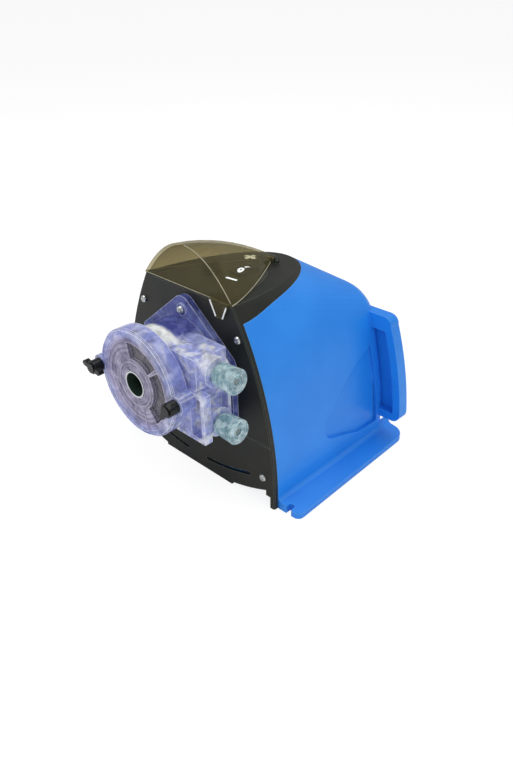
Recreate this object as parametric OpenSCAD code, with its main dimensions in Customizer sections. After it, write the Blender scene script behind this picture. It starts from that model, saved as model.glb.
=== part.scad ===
/* [Body] */
// Half width of the body at its foot
foot_w = 99.7; // [92:0.1:106]
// Radius of the curved body sides
side_r = 342; // [300:1:400]
// Height of the control surface at its front edge
top_z = 183; // [178:1:190]
// Fall of the control surface towards the rear, per mm
top_fall = 0.05; // [0.02:0.01:0.08]
// Depth of the body from its front face to its rear wall
body_d = 163; // [155:1:175]
// Wall thickness of the housing and the front cover
wall = 3; // [2.4:0.1:3.6]
// Chamfer round the front face
front_chamfer = 1.2; // [0.6:0.1:1.6]
// Height of the top edge at the rear wall
rear_top_z = 155; // [150:1:160]
// Radius of the shoulders at the rear wall
rear_shoulder_r = 42; // [36:1:46]
// Height of the floor's underside above the ground
floor_z = 14; // [12:0.5:15]

/* [Control surface] */
// Half width of the black top tongue at the front
tongue_w = 62; // [58:1:66]
// Length of the black top tongue
tongue_l = 127; // [120:1:132]
// Half width of the flat top at the front
plateau_w = 54.5; // [52:0.5:56]
// Length of the flat top
plateau_l = 124; // [118:1:128]

/* [Flanges and ears] */
// Half width over the base flanges
flange_w = 124; // [120:1:130]
// Thickness of the base flange at its outer edge
flange_t = 5.5; // [4:0.5:7]
// Rear end of the base flanges
flange_rear = 171; // [168:1:178]
// Width of the open screw slots in the flanges
slot_w = 5.6; // [4.5:0.1:6.5]
// How far the rear ears stand out from the sides
ear_w = 25; // [20:1:28]
// Height of the ears' lower edge
ear_low = 27.5; // [22:0.5:32]
// Height of the ears' upper edge
ear_high = 134; // [125:1:138]
// Depth of the ears along the body
ear_d = 12; // [10:1:16]
// Width of the raised rim round each ear
ear_rim = 8; // [6:0.5:10]
// Depth of the scoop in each side
scoop_depth = 3.5; // [2:0.5:4]

/* [Front cover] */
// Depth of the cover's side rim
rim_d = 4.5; // [3.5:0.5:6]
// Radius of the smile-shaped vent slots
smile_r = 200; // [180:5:230]
// Height of the vent slots' lowest point
smile_z = 13; // [11:0.5:16]
// Width of the vent slots
vent_w = 3.4; // [2:0.2:3.8]
// Half width of the foot tab in the middle
tab_w = 46; // [38:1:52]
// Gap between parts that lie side by side
seam = 0.2; // [0.1:0.05:0.3]

/* [Hood] */
// Height of the hood's front arch
hood_h = 38; // [34:1:42]
// Length of the hood
hood_l = 104; // [100:1:108]
// Thickness of the hood
hood_t = 2; // [1.6:0.1:2.6]
// Radius of the hood's hinge pin
hinge_pin_r = 1.2; // [0.9:0.1:1.5]

/* [Pump head] */
// Height of the rotor axis
axis_z = 117; // [112:1:120]
// Outer radius of the tube chamber
head_r = 42; // [41:0.5:45]
// Radius of the track that the tube is squeezed against
track_r = 36.5; // [35.5:0.5:37]
// Depth of the mounting bracket
bracket_d = 6; // [5:0.5:7]
// Front of the tube chamber, from the front face
head_front = 46; // [44:1:50]
// Depth of the head cover
cover_d = 16; // [14:1:18]
// Outer radius of the head cover
cover_r = 48.5; // [47:0.5:50]
// Distance of the thumb screws from the axis
thumb_x = 50; // [48:0.5:52]
// Outer radius of the squeeze tube
tube_r = 4.5; // [4:0.1:4.6]
// Bore radius of the squeeze tube
tube_bore_r = 2.9; // [2.4:0.1:3]
// Radius of the rollers
roller_r = 8.5; // [7:0.1:9]
// Distance of each port from the rotor axis
port_dz = 23.25; // [22:0.25:25]
// Distance of the ports behind the plane of the cover's front
port_y = 29; // [27:0.5:30]
// Radius of the tube nuts at their outer end
nut_r = 11.6; // [10.5:0.1:12.2]
// Length of the tube nuts
nut_l = 22; // [18:1:24]
// Bore radius in the nuts for the outside tubing
port_r = 3.4; // [2.5:0.1:3.8]
// Radius of the drive shaft
shaft_r = 4; // [3.5:0.1:4.4]

/* [Hidden] */
$fn = 56;
side_z = 13;
floor_t = 3;
thumb_w = 24;
thumb_head = 11;
head_reach = head_front + cover_d - 1 + thumb_head;
origin_y = (flange_rear - head_reach) / 2;
tilt = atan(top_fall);
run_gap = 0.05;
seat_gap = 0.3;
smile_c = smile_z + smile_r;
inner_low = floor_z + floor_t;
screw_low = [86.3, 30];
screw_high = [60, 155.5];
port_face = 66;
chamber_back = 12;
tube_path = track_r - tube_r - 0.1;
roller_path = tube_path - tube_r - seat_gap - roller_r;
plate_r = roller_path + 6.5;
tube_turn = atan2(port_dz, 48) + acos(tube_path / norm([48, port_dz]));
tube_run = norm([48 - tube_path * cos(tube_turn), port_dz - tube_path * sin(tube_turn)]);
tube_lean = atan2(tube_path * sin(tube_turn) - port_dz, 48 - tube_path * cos(tube_turn));
nose_r = 12;
nose_bore_r = 10.4;
knob_at = [-14, 42];
switch_at = [4, 64];
board_z = 152;
post_x = 31;
lug_r = 7.5;
hinge_y = hood_l - 3.2;
hinge_up = 3.2;
knuckle_r = 2.9;
thumb_angles = [-10, 54];
gear_half = 31;
gear_back = 34;
motor_back = 84;
lobe_r = 12;
lobes = [[0, 166], [45.5, 128.5], [46, 77], [-46, 77], [-45.5, 128.5]];

// Moves the model from the front face to the middle of its footprint
module placed() {
  translate([0, -origin_y, 0]) children();
}

// Draws a flat outline in x and z, from one y to another
module along_y(y0, y1) {
  translate([0, y1, 0]) rotate([90, 0, 0]) linear_extrude(y1 - y0) children();
}

module rod_y(r, y0, y1, x = 0, z = 0) {
  translate([x, y0, z]) rotate([-90, 0, 0]) cylinder(r = r, h = y1 - y0);
}

module rod_x(r, x0, x1, y, z) {
  translate([x0, y, z]) rotate([0, 90, 0]) cylinder(r = r, h = x1 - x0);
}

// Places a piece on the sloping control surface
module on_panel(x, y) {
  translate([x, y, top_z - top_fall * y]) rotate([-tilt, 0, 0]) children();
}

module both_sides() {
  children();
  mirror([1, 0, 0]) children();
}

// Half width of the body at a height
function side_x(z) = foot_w - side_r + sqrt(pow(side_r, 2) - pow(z - side_z, 2));
function side_heights(low, high) =
  concat([low], [for (z = [12:12:168]) if (z > low + 3 && z < high - 3) z], [high]);
function side_points(inset, low, high) = [for (z = side_heights(low, high)) [side_x(z) - inset, z]];
function mirrored(points) =
  [for (i = [len(points) - 1:-1:0]) [-points[i][0], points[i][1]]];
function arc_points(cx, cy, r, a0, a1, steps) =
  [for (i = [0:steps]) let (a = a0 + (a1 - a0) * i / steps) [cx + r * cos(a), cy + r * sin(a)]];

module front_outline(inset, low, high) {
  right = side_points(inset, low, high);
  polygon(concat(right, mirrored(right)));
}

module rear_outline(inset, low) {
  turn_z = rear_top_z - rear_shoulder_r;
  right = concat(side_points(inset, low, turn_z - 5),
    arc_points(side_x(turn_z) - rear_shoulder_r, turn_z, rear_shoulder_r - inset, 0, 90, 12));
  polygon(concat(right, mirrored(right)));
}

module half_ellipse(half_w, length, steps) {
  polygon([for (i = [0:steps]) let (a = 180 * i / steps) [half_w * cos(a), length * sin(a)]]);
}

// The body's outer form, or the same form inset by a wall
module body_form(inset, low) {
  c = front_chamfer;
  hull() {
    if (inset == 0) along_y(0, 0.1) front_outline(c, low, top_z - c);
    along_y(c, c + 0.1) front_outline(inset, low, top_z - inset - 4);
    translate([0, 0, top_z - inset]) rotate([-tilt, 0, 0]) translate([0, c, -0.1])
      linear_extrude(0.1) half_ellipse(plateau_w - inset, plateau_l - inset, 36);
    along_y(body_d - 8.1 - inset, body_d - 8 - inset) rear_outline(inset, low);
    along_y(body_d - 0.1 - inset, body_d - inset) rear_outline(inset + 5, low);
  }
}

module tongue_area(grow) {
  translate([0, 0, top_z - 22]) linear_extrude(40) half_ellipse(tongue_w + grow, tongue_l + grow, 40);
}

// Arc band that runs through the vents, between two half widths
module smile_band(x0, x1, half_w) {
  intersection() {
    translate([0, smile_c]) difference() {
      circle(r = smile_r + half_w, $fn = 180);
      circle(r = smile_r - half_w, $fn = 180);
    }
    translate([x0, 0]) square([x1 - x0, smile_z + 25]);
  }
}

// Outline of one side's scoop, seen from the side
module scoop_outline(grow) {
  rear = body_d - ear_d;
  nose = [rear - 67, 50];
  upper = [[rear - 51, 82 + grow], [rear - 27, 96 + grow], [rear - 5, 104 + grow]];
  lower = [[rear - 2, 22 - grow], [rear - 31, 23 - grow], [rear - 55, 31 - grow]];
  polygon(concat(arc_points(nose[0], nose[1], 15 + grow, 250, 130, 10), upper, lower));
}

module scoop_cutter(depth, grow) {
  difference() {
    both_sides() translate([60, 0, 0]) rotate([90, 0, 90]) linear_extrude(60) scoop_outline(grow);
    body_form(depth, -5);
  }
}

module flange_section() {
  side = side_x(13);
  polygon([[side - 5, 0], [flange_w, 0], [flange_w, flange_t], [side + 3, 8.5],
    [side + 1, 9.8], [side - 1, 13.6], [side - 5, 13.6]]);
}

module flange_plan() {
  front = rim_d + seam;
  difference() {
    polygon(concat([[side_x(0) - 10, front]],
      arc_points(flange_w - 6, front + 6, 6, -90, 0, 8),
      arc_points(flange_w - 16, flange_rear - 12, 12, 0, 90, 8),
      [[side_x(0) - 10, flange_rear]]));
    translate([flange_w - 12 - slot_w / 2, front - 1]) square([slot_w, 5]);
    translate([flange_w - 12, front + 4]) circle(d = slot_w);
  }
}

module ear_outline(inset) {
  r = 9 - inset;
  top = ear_high - inset * 1.8;
  bottom = ear_low + inset;
  reach = ear_w - inset;
  polygon(concat([[side_x(bottom) - 12, bottom]],
    arc_points(side_x(bottom + r) + reach - r, bottom + r, r, -90, 0, 6),
    [for (z = [bottom + r + 10:10:top - r - 6]) [side_x(z) + reach, z]],
    arc_points(side_x(top - r) + reach - r, top - r, r, 0, 90, 6),
    [[side_x(top) - 12, top]]));
}

// Screw posts inside the housing, behind the front cover's screws
module housing_posts() {
  for (p = [screw_low, screw_high]) both_sides() {
    rod_y(5.2, rim_d + seam, 26, p[0], p[1]);
    translate([p[0], rim_d + seam, p[1] - 2]) cube([side_x(p[1]) - p[0] - wall + 0.5, 18, 4]);
  }
}

module rear_housing() {
  half = side_x(0) - 6;
  placed() color("#3d8be5") difference() {
    union() {
      difference() {
        union() {
          body_form(0, 0);
          both_sides() difference() {
            along_y(body_d - ear_d, body_d) ear_outline(0);
            along_y(body_d - ear_d - 1, body_d - 4) ear_outline(ear_rim);
          }
        }
        difference() {
          body_form(wall, inner_low);
          scoop_cutter(scoop_depth + wall, wall);
        }
        translate([-half, -1, -1]) cube([2 * half, body_d + 10, floor_z + 1]);
      }
      both_sides() intersection() {
        along_y(0, flange_rear) flange_section();
        linear_extrude(20) flange_plan();
      }
      housing_posts();
      along_y(rim_d + 2, rim_d + 5) smile_band(-78, 78, 9);
    }
    translate([-150, -5, -5]) cube([300, rim_d + seam + 5, 250]);
    tongue_area(seam);
    scoop_cutter(scoop_depth, 0);
    for (p = [screw_low, screw_high]) both_sides() rod_y(1.6, 0, 24, p[0], p[1]);
    rod_y(6.55, body_d - 10, body_d + 5, -52, 44);
  }
}

module front_cover() {
  leg_x = side_x(0) - 5;
  placed() color("#2a302c") difference() {
    union() {
      difference() {
        intersection() {
          body_form(0, 0.3);
          union() {
            translate([-150, -1, -1]) cube([300, rim_d + 1, 250]);
            tongue_area(0);
          }
        }
        difference() {
          body_form(wall, -2);
          translate([-150, -1, -5]) cube([300, wall + 1, 260]);
        }
      }
      for (p = lobes) rod_y(4.6, wall - 0.5, 10, p[0], p[1]);
      for (x = [-hinge_seat_x(), hinge_seat_x()]) on_panel(x, hinge_y)
        translate([-1.5, -2.6, -1]) cube([3, 5.2, hinge_up + 1]);
      for (x = [-hinge_seat_x(), hinge_seat_x()]) on_panel(x, hinge_y)
        translate([0, 0, hinge_up]) rod_x(2.6, -1.5, 1.5, 0, 0);
    }
    both_sides() {
      along_y(-1, rim_d + 1) difference() {
        translate([tab_w, -5]) square([leg_x - tab_w, 40]);
        translate([0, smile_c]) circle(r = smile_c + 2, $fn = 180);
        translate([leg_x - 5, 12]) square([6, 30]);
      }
      along_y(-1, wall + 1) intersection() {
        smile_band(12.5, 70, vent_w / 2);
        square([200, 60]);
      }
      along_y(-1, 0.5) translate([66, 64]) square([side_x(64) - 67.5, 0.8]);
    }
    rod_y(nose_r + 0.3, -1, rim_d, 0, axis_z);
    for (p = [screw_low, screw_high]) both_sides() rod_y(1.85, -1, wall + 1, p[0], p[1]);
    for (p = lobes) rod_y(1.55, -1, 9, p[0], p[1]);
    for (x = [-24, 24]) for (z = [-24, 24]) rod_y(1.55, 1, wall + 1, x, axis_z + z);
    on_panel(0, hinge_y) translate([0, 0, hinge_up]) rod_x(hinge_pin_r, -20, 20, 0, 0);
    on_panel(knob_at[0], knob_at[1]) translate([0, 0, -8]) cylinder(r = 3.6, h = 12);
    on_panel(switch_at[0], switch_at[1]) translate([-6, -11, -8]) cube([12, 22, 12]);
    for (x = [-post_x, post_x]) for (y = [22, 84]) on_panel(x, y) translate([0, 0, -8]) cylinder(r = 1.3, h = 7);
  }
}

function hinge_seat_x() = 9;

module pan_head_screw(head_r, head_h, shank_r, length) {
  difference() {
    rotate_extrude() polygon(concat([[0, length], [shank_r, length], [shank_r, 0], [head_r, 0]],
      [[head_r, -head_h * 0.45], [head_r * 0.8, -head_h * 0.85], [head_r * 0.4, -head_h], [0, -head_h]]));
    for (a = [0, 90]) rotate([0, 0, a]) translate([-head_r * 0.62, -0.45, -head_h - 1])
      cube([head_r * 1.24, 0.9, 1.9]);
  }
}

module cover_screws() {
  placed() color("silver") for (p = [screw_low, screw_high]) both_sides()
    translate([p[0], 0, p[1]]) rotate([-90, 0, 0]) rotate([0, 0, 35]) pan_head_screw(3.4, 2.2, 1.5, 20);
}

module control_overlay() {
  placed() color("#3b3a2c") translate([0, 0, top_z]) rotate([-tilt, 0, 0]) difference() {
    translate([0, 3, 0]) linear_extrude(0.25) difference() {
      half_ellipse(44, 84, 36);
      translate([knob_at[0], knob_at[1] - 3]) circle(r = 10);
      translate([switch_at[0] - 7.2, switch_at[1] - 15.2]) square([14.4, 24.4]);
    }
  }
}

module rate_knob() {
  placed() color("#181a1a") on_panel(knob_at[0], knob_at[1]) difference() {
    union() {
      translate([0, 0, 0.4]) cylinder(r = 9, h = 3);
      translate([0, 0, 3.3]) cylinder(r = 7.4, h = 7.7);
    }
    for (a = [0:30:330]) rotate([0, 0, a]) translate([8, 0, 3.6]) cylinder(r = 1.2, h = 8);
    translate([0, 0, -1]) cylinder(r = 3.05, h = 9);
    translate([-0.5, 3.5, 10.4]) cube([1, 5, 2]);
  }
}

module potentiometer() {
  placed() color("#8f8f8a") on_panel(knob_at[0], knob_at[1]) {
    translate([0, 0, -wall - 9]) cylinder(r = 8, h = 9);
    translate([0, 0, -wall - 0.5]) cylinder(r = 3.4, h = 3);
    translate([0, 0, -wall]) cylinder(r = 3, h = wall + 7.6);
  }
}

module switch_bezel() {
  placed() color("#15171a") on_panel(switch_at[0], switch_at[1]) difference() {
    union() {
      translate([-7, -12, 0]) cube([14, 24, 1.6]);
      translate([-5.9, -10.9, -16]) cube([11.8, 21.8, 16.5]);
      for (x = [-3.5, 3.5]) translate([x - 0.4, -2.5, -21]) cube([0.8, 5, 5.2]);
    }
    translate([-4.6, -9.6, -6.5]) cube([9.2, 19.2, 9]);
  }
}

module switch_rocker() {
  placed() color("#202225") on_panel(switch_at[0], switch_at[1]) rotate([7, 0, 0]) difference() {
    intersection() {
      translate([-4.3, -9, -3.6]) cube([8.6, 18, 7.2]);
      translate([0, 0, -11.4]) rod_x(14.6, -6, 6, 0, 0);
    }
    translate([-0.5, 3.6, 0.9]) cube([1, 3.4, 3]);
    translate([0, -5, 0.9]) difference() {
      cylinder(r = 1.9, h = 3);
      cylinder(r = 1.1, h = 3);
    }
  }
}

// Half width and height of the hood at a distance from the front
function hood_half(y) = 0.6 + (plateau_w - 0.6) * (1 - pow(y / hood_l, 1.25));
function hood_height(y) = 4.6 + (hood_h - 4.6) * (1 - pow(y / hood_l, 1.75));

module hood_section(y, inset) {
  half = max(hood_half(y) - inset, 0.3);
  rise = hood_height(y) - inset;
  steps = 20;
  on_panel(0, y) rotate([90, 0, 0]) linear_extrude(0.01)
    polygon(concat([[-half, 0]], [for (i = [0:steps]) let (u = -1 + 2 * i / steps)
      [half * u, 0.5 + (rise - 0.5) * (1 - pow(u, 2))]], [[half, 0]]));
}

module hood_form(inset, y_start, y_end) {
  steps = 9;
  hull() for (i = [0:steps]) hood_section(y_start + (y_end - y_start) * i / steps, inset);
}

module hood_tab() {
  along_y(-2.2, -0.4) polygon([[30.5, top_z - 1], [37.2, top_z - 13.5], [45, top_z - 13.5],
    [50.5, top_z - 1], [50.5, top_z + 1.8], [30.5, top_z + 1.8]]);
  along_y(-0.5, 0.5) translate([30.5, top_z + 0.5]) square([20, 1.4]);
}

module hood() {
  placed() color([0.62, 0.5, 0.27, 0.5]) difference() {
    union() {
      difference() {
        translate([0, 0, seat_gap]) hood_form(0, 0, hood_l - 4.5);
        translate([0, 0, seat_gap - 0.2]) hood_form(hood_t, hood_t, hood_l - 4.5 - 2 * hood_t);
      }
      on_panel(0, hinge_y) translate([0, 0, hinge_up]) rod_x(knuckle_r, -6.8, 6.8, 0, 0);
      hood_tab();
    }
    on_panel(0, hinge_y) translate([0, 0, hinge_up]) rod_x(hinge_pin_r + run_gap, -12, 12, 0, 0);
    on_panel(0, hinge_y) translate([-20, -10, -2]) cube([40, 30, 2.25]);
  }
}

module hood_hinge_pin() {
  placed() color("silver") on_panel(0, hinge_y) translate([0, 0, hinge_up]) rod_x(hinge_pin_r, -10.5, 10.5, 0, 0);
}

module gearbox() {
  placed() color("#9c9fa3") difference() {
    union() {
      translate([-gear_half, wall, axis_z - gear_half]) cube([2 * gear_half, 22, 2 * gear_half]);
      translate([-gear_half + 3, wall + 22, axis_z - gear_half + 3])
        cube([2 * gear_half - 6, gear_back - wall - 22, 2 * gear_half - 6]);
      rod_y(nose_r, 0, wall + 1, 0, axis_z);
    }
    rod_y(shaft_r + run_gap, -1, 26, 0, axis_z);
    for (x = [-24, 24]) for (z = [-24, 24]) rod_y(1.7, 0, gear_back + 1, x, axis_z + z);
  }
}

module gearbox_screws() {
  placed() color("silver") for (x = [-24, 24]) for (z = [-24, 24])
    translate([x, gear_back, axis_z + z]) rotate([90, 0, 0]) pan_head_screw(3, 2.4, 1.5, gear_back - 1.2);
}

module motor_can() {
  placed() color("#6d7073") {
    difference() {
      rod_y(29, gear_back, motor_back - 8, 0, axis_z);
      for (x = [-24, 24]) for (z = [-24, 24]) rod_y(3.6, gear_back - 1, gear_back + 3, x, axis_z + z);
      for (a = [0:30:330]) translate([0, 0, axis_z]) rotate([0, a, 0]) translate([29, 42, -2]) cube([3, 24, 4]);
    }
    rod_y(26, motor_back - 8.5, motor_back - 2, 0, axis_z);
    rod_y(8, motor_back - 2.5, motor_back, 0, axis_z);
  }
}

module output_shaft() {
  placed() color("silver") difference() {
    rod_y(shaft_r, -head_front + 4, 25, 0, axis_z);
    translate([-5, -head_front + 3, axis_z + shaft_r - 0.8]) cube([10, 22, 2]);
  }
}

module shaft_bearing() {
  placed() color("#b9bcc0") difference() {
    rod_y(8, -bracket_d, 0, 0, axis_z);
    rod_y(shaft_r + run_gap, -bracket_d - 1, 1, 0, axis_z);
    difference() {
      rod_y(6.8, -bracket_d - 1, -bracket_d + 0.6, 0, axis_z);
      rod_y(5.2, -bracket_d - 2, -bracket_d + 0.6, 0, axis_z);
    }
  }
}

module circuit_board() {
  placed() color("#1f6b3a") difference() {
    translate([-42, 15, board_z]) cube([84, 76, 1.6]);
    for (x = [-post_x, post_x]) for (y = [22, 84]) translate([x, y, board_z - 1]) cylinder(r = 1.7, h = 4);
  }
}

module board_posts() {
  placed() color("#c9c9c4") for (x = [-post_x, post_x]) for (y = [22, 84]) intersection() {
    translate([x, y, 0]) difference() {
      union() {
        translate([0, 0, board_z + 1.6]) cylinder(r = 3, h = 40);
        translate([0, 0, board_z - 2]) cylinder(r = 1.6, h = 5);
        translate([0, 0, board_z - 2]) cylinder(r = 2.8, h = 2);
      }
    }
    translate([0, 0, top_z - wall]) rotate([-tilt, 0, 0]) translate([-80, -5, -60]) cube([160, 140, 60]);
  }
}

module transformer() {
  placed() color("#7a6a4a") translate([-52, 104, inner_low]) {
    difference() {
      translate([-22, -18, 0]) cube([44, 36, 38]);
      for (x = [-12, 12]) translate([x - 4, -20, 8]) cube([8, 40, 22]);
    }
    translate([-15.8, -16, 8.2]) cube([7.6, 32, 21.6]);
    translate([8.2, -16, 8.2]) cube([7.6, 32, 21.6]);
  }
}

module terminal_block() {
  placed() color("#d8d8d2") translate([50, 122, inner_low]) difference() {
    translate([-21, -9, 0]) cube([42, 18, 13]);
    for (i = [-2:2]) translate([i * 8, 0, 8]) {
      cylinder(r = 2.2, h = 6);
      translate([-2, -10, -5]) cube([4, 6, 5]);
    }
  }
}

module capacitor() {
  placed() color("#3a3f46") translate([50, 92, inner_low + 10.1]) rotate([0, 90, 0]) translate([0, 0, -20]) {
    cylinder(r = 10, h = 38);
    translate([0, 0, 38]) cylinder(r = 8, h = 1.5);
  }
}

module cable_gland() {
  placed() color("#1c1e20") translate([-52, 0, 44]) difference() {
    union() {
      rod_y(6.5, body_d - 9, body_d + 3);
      rod_y(9.5, body_d, body_d + 3);
      rod_y(7.5, body_d + 2.5, body_d + 7.8);
    }
    rod_y(3.6, body_d - 12, body_d + 12);
    for (a = [0:45:315]) rotate([0, a, 0]) translate([9.6, body_d - 1, 0]) rotate([-90, 0, 0]) cylinder(r = 1.6, h = 5);
  }
}

module gland_nut() {
  placed() color("#1c1e20") translate([-52, 0, 44]) difference() {
    along_y(body_d - wall - 4.5, body_d - wall) circle(r = 10, $fn = 6);
    rod_y(6.55, body_d - 20, body_d);
  }
}

// Straight bar with round ends between two points of an outline
module link_2d(a, b, r) {
  d = b - a;
  translate(a) rotate(atan2(d[1], d[0])) translate([0, 0.05 - r]) square([norm(d), 2 * r - 0.1]);
  translate(a) circle(r = r);
  translate(b) circle(r = r);
}

// Direction that an edge of the bracket's outline faces, between one lobe and the next
function edge_normal(i) =
  let (a = lobes[i % 5], b = lobes[(i + 1) % 5]) atan2(b[0] - a[0], a[1] - b[1]);
function turned(a, b) = b > a ? b - 360 : b;

// Outline round the five lobes, clockwise from the top
module bracket_outline() {
  polygon([for (i = [0:4]) let (a = edge_normal(i + 4), b = turned(a, edge_normal(i)))
    each arc_points(lobes[i][0], lobes[i][1], lobe_r, a, b, 8)]);
}

module head_bracket() {
  placed() color([0.55, 0.56, 0.85, 0.6]) difference() {
    union() {
      along_y(-bracket_d, 0) bracket_outline();
      for (x = [-thumb_x, thumb_x]) rod_y(8, -bracket_d, 0, x, axis_z);
      for (i = [0:1:4]) rod_y(5.6, -bracket_d - 1.2, -bracket_d + 1, lobes[i][0], lobes[i][1]);
    }
    rod_y(8.02, -bracket_d - 2, 1, 0, axis_z);
    for (p = lobes) rod_y(2, -bracket_d - 2, 1, p[0], p[1]);
    for (x = [-thumb_x, thumb_x]) rod_y(2.55, -bracket_d - 2, -1, x, axis_z);
    along_y(-bracket_d - 3, -bracket_d) {
      translate([0, axis_z]) circle(r = head_r + seat_gap);
      for (x = [-thumb_x, thumb_x]) translate([x, axis_z]) circle(r = lug_r + seat_gap);
    }
  }
}

module bracket_screws() {
  placed() color("silver") for (p = lobes)
    translate([p[0], -bracket_d - 1.2, p[1]]) rotate([-90, 0, 0]) rotate([0, 0, 20])
      pan_head_screw(3.8, 2.6, 1.5, bracket_d + 8.5);
}

// Block between the tube chamber and the ports, recessed behind a front frame
module port_block() {
  along_y(-head_front + 3, -bracket_d - 4) {
    translate([20, axis_z - 38]) square([34, 52]);
    translate([20, axis_z + 8]) square([36, port_dz + 4]);
  }
  along_y(-head_front, -head_front + 8) translate([20, axis_z - 38.5]) square([port_face - 20, 45.5]);
  translate([52, -bracket_d - 9, axis_z - 33]) cube([10, 3, 34]);
}

module head_body() {
  port_boss_r = 13;
  placed() color([0.6, 0.6, 0.9, 0.5]) difference() {
    union() {
      along_y(-head_front, -bracket_d) {
        translate([0, axis_z]) circle(r = head_r);
        for (x = [-thumb_x, thumb_x]) translate([x, axis_z]) circle(r = lug_r);
        translate([-thumb_x, axis_z - 5]) square([12, 10]);
      }
      port_block();
      for (s = [-1, 1]) rod_x(port_boss_r, 30, port_face, -port_y, axis_z + s * port_dz);
    }
    rod_y(track_r, -head_front - 5, -chamber_back, 0, axis_z);
    rod_y(shaft_r + 2, -head_front, 0, 0, axis_z);
    for (x = [-thumb_x, thumb_x]) rod_y(2.55, -head_front - 5, 0, x, axis_z);
    for (s = [-1, 1]) translate([48, -port_y, axis_z + s * port_dz]) {
      translate([-9, -5.1, -5.1]) cube([12, 10.2, 10.2]);
      rod_x(6.02, 1.9, port_face - 47, 0, 0);
      rotate([0, -90 + s * tube_lean, 0]) translate([-tube_r - seat_gap, -tube_r - seat_gap, 0])
        cube([2 * (tube_r + seat_gap), 2 * (tube_r + seat_gap), tube_run - 6]);
    }
    along_y(-head_front - 1, -head_front + 6) translate([50, axis_z - 34.5]) square([12.5, 37.5]);
  }
}

// Straight ends of the squeeze tube, from the ports into the chamber
module tube_ends(r, start, reach) {
  for (s = [-1, 1]) translate([48, -port_y, axis_z + s * port_dz])
    rotate([0, -90 + s * tube_lean, 0]) translate([0, 0, -start]) cylinder(r = r, h = tube_run + start + reach);
}

module tube_arc(r) {
  translate([0, -port_y, axis_z]) rotate([90, 0, 0]) rotate([0, 0, tube_turn])
    rotate_extrude(angle = 360 - 2 * tube_turn, $fn = 96) translate([tube_path, 0]) circle(r = r, $fn = 32);
}

module squeeze_tube() {
  placed() color("#eceadf") difference() {
    union() {
      tube_arc(tube_r);
      tube_ends(tube_r - 0.05, 2.2, 0.4);
    }
    tube_arc(tube_bore_r - 0.1);
    tube_ends(tube_bore_r, 4, 0.4);
  }
}

module tube_fittings() {
  placed() color([0.85, 0.88, 0.86, 0.7]) for (s = [-1, 1]) translate([0, -port_y, axis_z + s * port_dz]) difference() {
    union() {
      rod_x(6, 51.3, port_face + 1, 0, 0);
      rod_x(7.2, port_face + 0.3, port_face + 3, 0, 0);
      rod_x(5.4, port_face + 2, port_face + 14, 0, 0);
    }
    rod_x(2, 45, port_face + 30, 0, 0);
    rod_x(port_r, port_face + 8, port_face + 30, 0, 0);
  }
}

module tube_nut(s) {
  x0 = port_face + 3.4;
  x1 = x0 + nut_l - 2.8;
  flare = 1.5;
  translate([0, -port_y, axis_z + s * port_dz]) difference() {
    translate([x0, 0, 0]) rotate([0, 90, 0]) rotate_extrude() polygon([[4, 0], [nut_r - flare - 0.6, 0],
      [nut_r - flare, 0.6], [nut_r - 0.5, x1 - x0 - 1.2], [nut_r - 1.4, x1 - x0], [4, x1 - x0], [0.5, x1 - x0], [0.5, 0]]);
    for (a = [0:15:345]) rotate([a, 0, 0]) translate([x0 + 2.6, 0, nut_r + 0.1]) rotate([0, 90, 0])
      cylinder(r = 0.8, h = x1 - x0 - 5, $fn = 16);
    rod_x(5.4 + run_gap, x0 - 1, x1 - 3.4, 0, 0);
    rod_x(port_r, x0, x1 + 1, 0, 0);
    rod_x(6.4, x1 - 1, x1 + 1, 0, 0);
  }
}

module suction_nut() {
  placed() color([0.66, 0.76, 0.72, 0.7]) tube_nut(-1);
}

module discharge_nut() {
  placed() color([0.66, 0.76, 0.72, 0.7]) tube_nut(1);
}

module tube_ferrules() {
  placed() color("#dfe3df") for (s = [-1, 1]) translate([0, -port_y, axis_z + s * port_dz]) difference() {
    rod_x(5.1, port_face + 14, port_face + 19, 0, 0);
    rod_x(port_r, port_face + 13, port_face + 30, 0, 0);
  }
}

module rotor_frame() {
  back = -chamber_back - 3;
  front = -head_front + 2;
  placed() color("#8d8f94") difference() {
    union() {
      rod_y(plate_r, back - 3, back, 0, axis_z);
      rod_y(plate_r, front, front + 3, 0, axis_z);
      rod_y(8.6, front, back, 0, axis_z);
    }
    rod_y(shaft_r + 0.02, front + 2, back + 1, 0, axis_z);
    for (a = [90:120:330]) translate([roller_path * cos(a), 0, axis_z + roller_path * sin(a)])
      rod_y(2.4, front - 1, back + 1);
    for (a = [30:120:270]) translate([plate_r * 0.86 * cos(a), 0, axis_z + plate_r * 0.86 * sin(a)]) {
      rod_y(7, front - 1, front + 4);
      rod_y(7, back - 4, back + 1);
    }
  }
}

module rotor_nose() {
  placed() color("#c3c5c9") difference() {
    rod_y(nose_r, -head_front - cover_d - 0.4, -head_front + 2, 0, axis_z);
    rod_y(nose_bore_r, -head_front - cover_d - 2, -head_front + 0.4, 0, axis_z);
  }
}

module roller(a) {
  front = -head_front + 5;
  back = -chamber_back - 6;
  translate([roller_path * cos(a), 0, axis_z + roller_path * sin(a)]) difference() {
    union() {
      rod_y(roller_r, front + 1.4, back - 1.4);
      rod_y(4, front + 0.3, back - 0.3);
    }
    rod_y(2.4 + run_gap, front - 1, back + 1);
  }
}

module roller_1() {
  placed() color("#e6e6e2") roller(90);
}

module roller_2() {
  placed() color("#e6e6e2") roller(210);
}

module roller_3() {
  placed() color("#e6e6e2") roller(330);
}

module roller_pins() {
  placed() color("silver") for (a = [90:120:330])
    translate([roller_path * cos(a), 0, axis_z + roller_path * sin(a)]) rod_y(2.38, -head_front + 2, -chamber_back - 3);
}

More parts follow.
